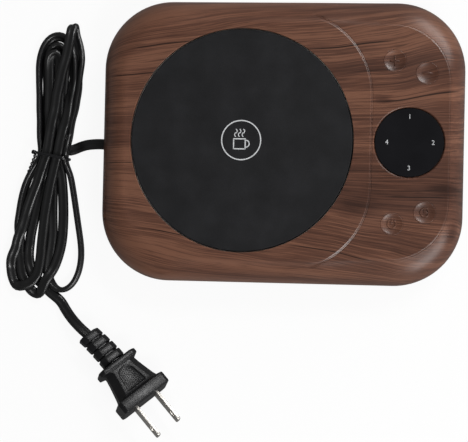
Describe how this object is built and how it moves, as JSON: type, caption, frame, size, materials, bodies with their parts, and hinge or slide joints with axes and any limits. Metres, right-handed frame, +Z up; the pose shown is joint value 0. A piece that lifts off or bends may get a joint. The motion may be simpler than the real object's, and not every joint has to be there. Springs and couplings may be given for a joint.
{
  "type": "electric mug warmer",
  "caption": "Low pillow-shaped mug warmer with a wood-look cover, a round dark heating plate, a front panel with press keys round a display, and a flat mains lead folded in a tied hank.",
  "frame": {"origin": "on the table, under the centre of the housing's outline seen from above", "axes": "+Z up, +Y to the rear where the lead comes out, -Y to the user's side with the panel, +X to the user's right"},
  "size_m": [0.2142, 0.227, 0.03],
  "materials": {
    "wood_print": "satin dark wood print under a clear coat",
    "black_plastic": "matte",
    "foot_rubber": "matte",
    "lead_jacket": "satin",
    "tie_black": "glossy",
    "plug_black": "satin",
    "blade_nickel": "bright nickel plate",
    "plate_coating": "matte fine-grained non-stick coating",
    "silicone": "matte",
    "heater_foil": "satin",
    "fibre_pad": "matte",
    "sheet_steel": "satin",
    "screw_steel": "bright",
    "sensor_bead": "gloss",
    "fuse_case": "satin",
    "lens_black": "high gloss",
    "white_plastic": "satin",
    "board_green": "satin lacquer",
    "plunger_white": "satin",
    "relay_blue": "satin",
    "coil_yellow": "satin",
    "sleeve_blue": "gloss",
    "terminal_green": "satin",
    "wire_brown": "satin",
    "wire_white": "woven sleeve",
    "wire_red": "satin",
    "ribbon_grey": "satin"
  },
  "bodies": {
    "base": {"top_cover": "wood_print", "bottom_cover": "black_plastic", "rubber_feet": "foot_rubber", "housing_screws": "screw_steel", "heating_plate": "plate_coating", "plate_seal": "silicone", "heater_element": "heater_foil", "insulation_pad": "fibre_pad", "clamp_plate": "sheet_steel", "clamp_screws": "screw_steel", "temperature_sensor": "sensor_bead", "thermal_fuse": "fuse_case", "fuse_clip": "sheet_steel", "display_lens": "lens_black", "display_module": "white_plastic", "control_board": "board_green", "control_board_screws": "screw_steel", "control_chip": "black_plastic", "buzzer": "black_plastic", "control_header": "white_plastic", "power_switch": "black_plastic", "timer_switch": "black_plastic", "plus_switch": "black_plastic", "minus_switch": "black_plastic", "main_board": "board_green", "main_board_screws": "screw_steel", "relay": "relay_blue", "transformer": "coil_yellow", "film_capacitor": "coil_yellow", "smoothing_capacitor": "sleeve_blue", "mains_fuse": "white_plastic", "terminal_block": "terminal_green", "heater_socket": "white_plastic", "sensor_socket": "white_plastic", "control_socket": "white_plastic", "mains_leads": "wire_brown", "heater_leads": "wire_white", "sensor_leads": "wire_red", "control_cable": "ribbon_grey", "cord_grommet": "lead_jacket", "cord_clamp": "black_plastic", "cord_clamp_screws": "screw_steel", "power_cord": "lead_jacket", "cord_hank": "lead_jacket", "cord_tail": "lead_jacket", "twist_tie": "tie_black", "plug_body": "plug_black", "plug_blades": "blade_nickel"},
    "power_key_body": {"power_key": "wood_print", "power_plunger": "plunger_white"},
    "timer_key_body": {"timer_key": "wood_print", "timer_plunger": "plunger_white"},
    "plus_key_body": {"plus_key": "wood_print", "plus_plunger": "plunger_white"},
    "minus_key_body": {"minus_key": "wood_print", "minus_plunger": "plunger_white"}
  },
  "joints": [
    {"name": "power_key_press", "type": "slide", "parent": "base", "child": "power_key_body", "axis": [0, 0, -1], "range_m": [0, 0.0005], "stiffness_N_per_m": 400, "springref_m": -0.0005},
    {"name": "timer_key_press", "type": "slide", "parent": "base", "child": "timer_key_body", "axis": [0, 0, -1], "range_m": [0, 0.0005], "stiffness_N_per_m": 400, "springref_m": -0.0005},
    {"name": "plus_key_press", "type": "slide", "parent": "base", "child": "plus_key_body", "axis": [0, 0, -1], "range_m": [0, 0.0005], "stiffness_N_per_m": 400, "springref_m": -0.0005},
    {"name": "minus_key_press", "type": "slide", "parent": "base", "child": "minus_key_body", "axis": [0, 0, -1], "range_m": [0, 0.0005], "stiffness_N_per_m": 400, "springref_m": -0.0005}
  ]
}
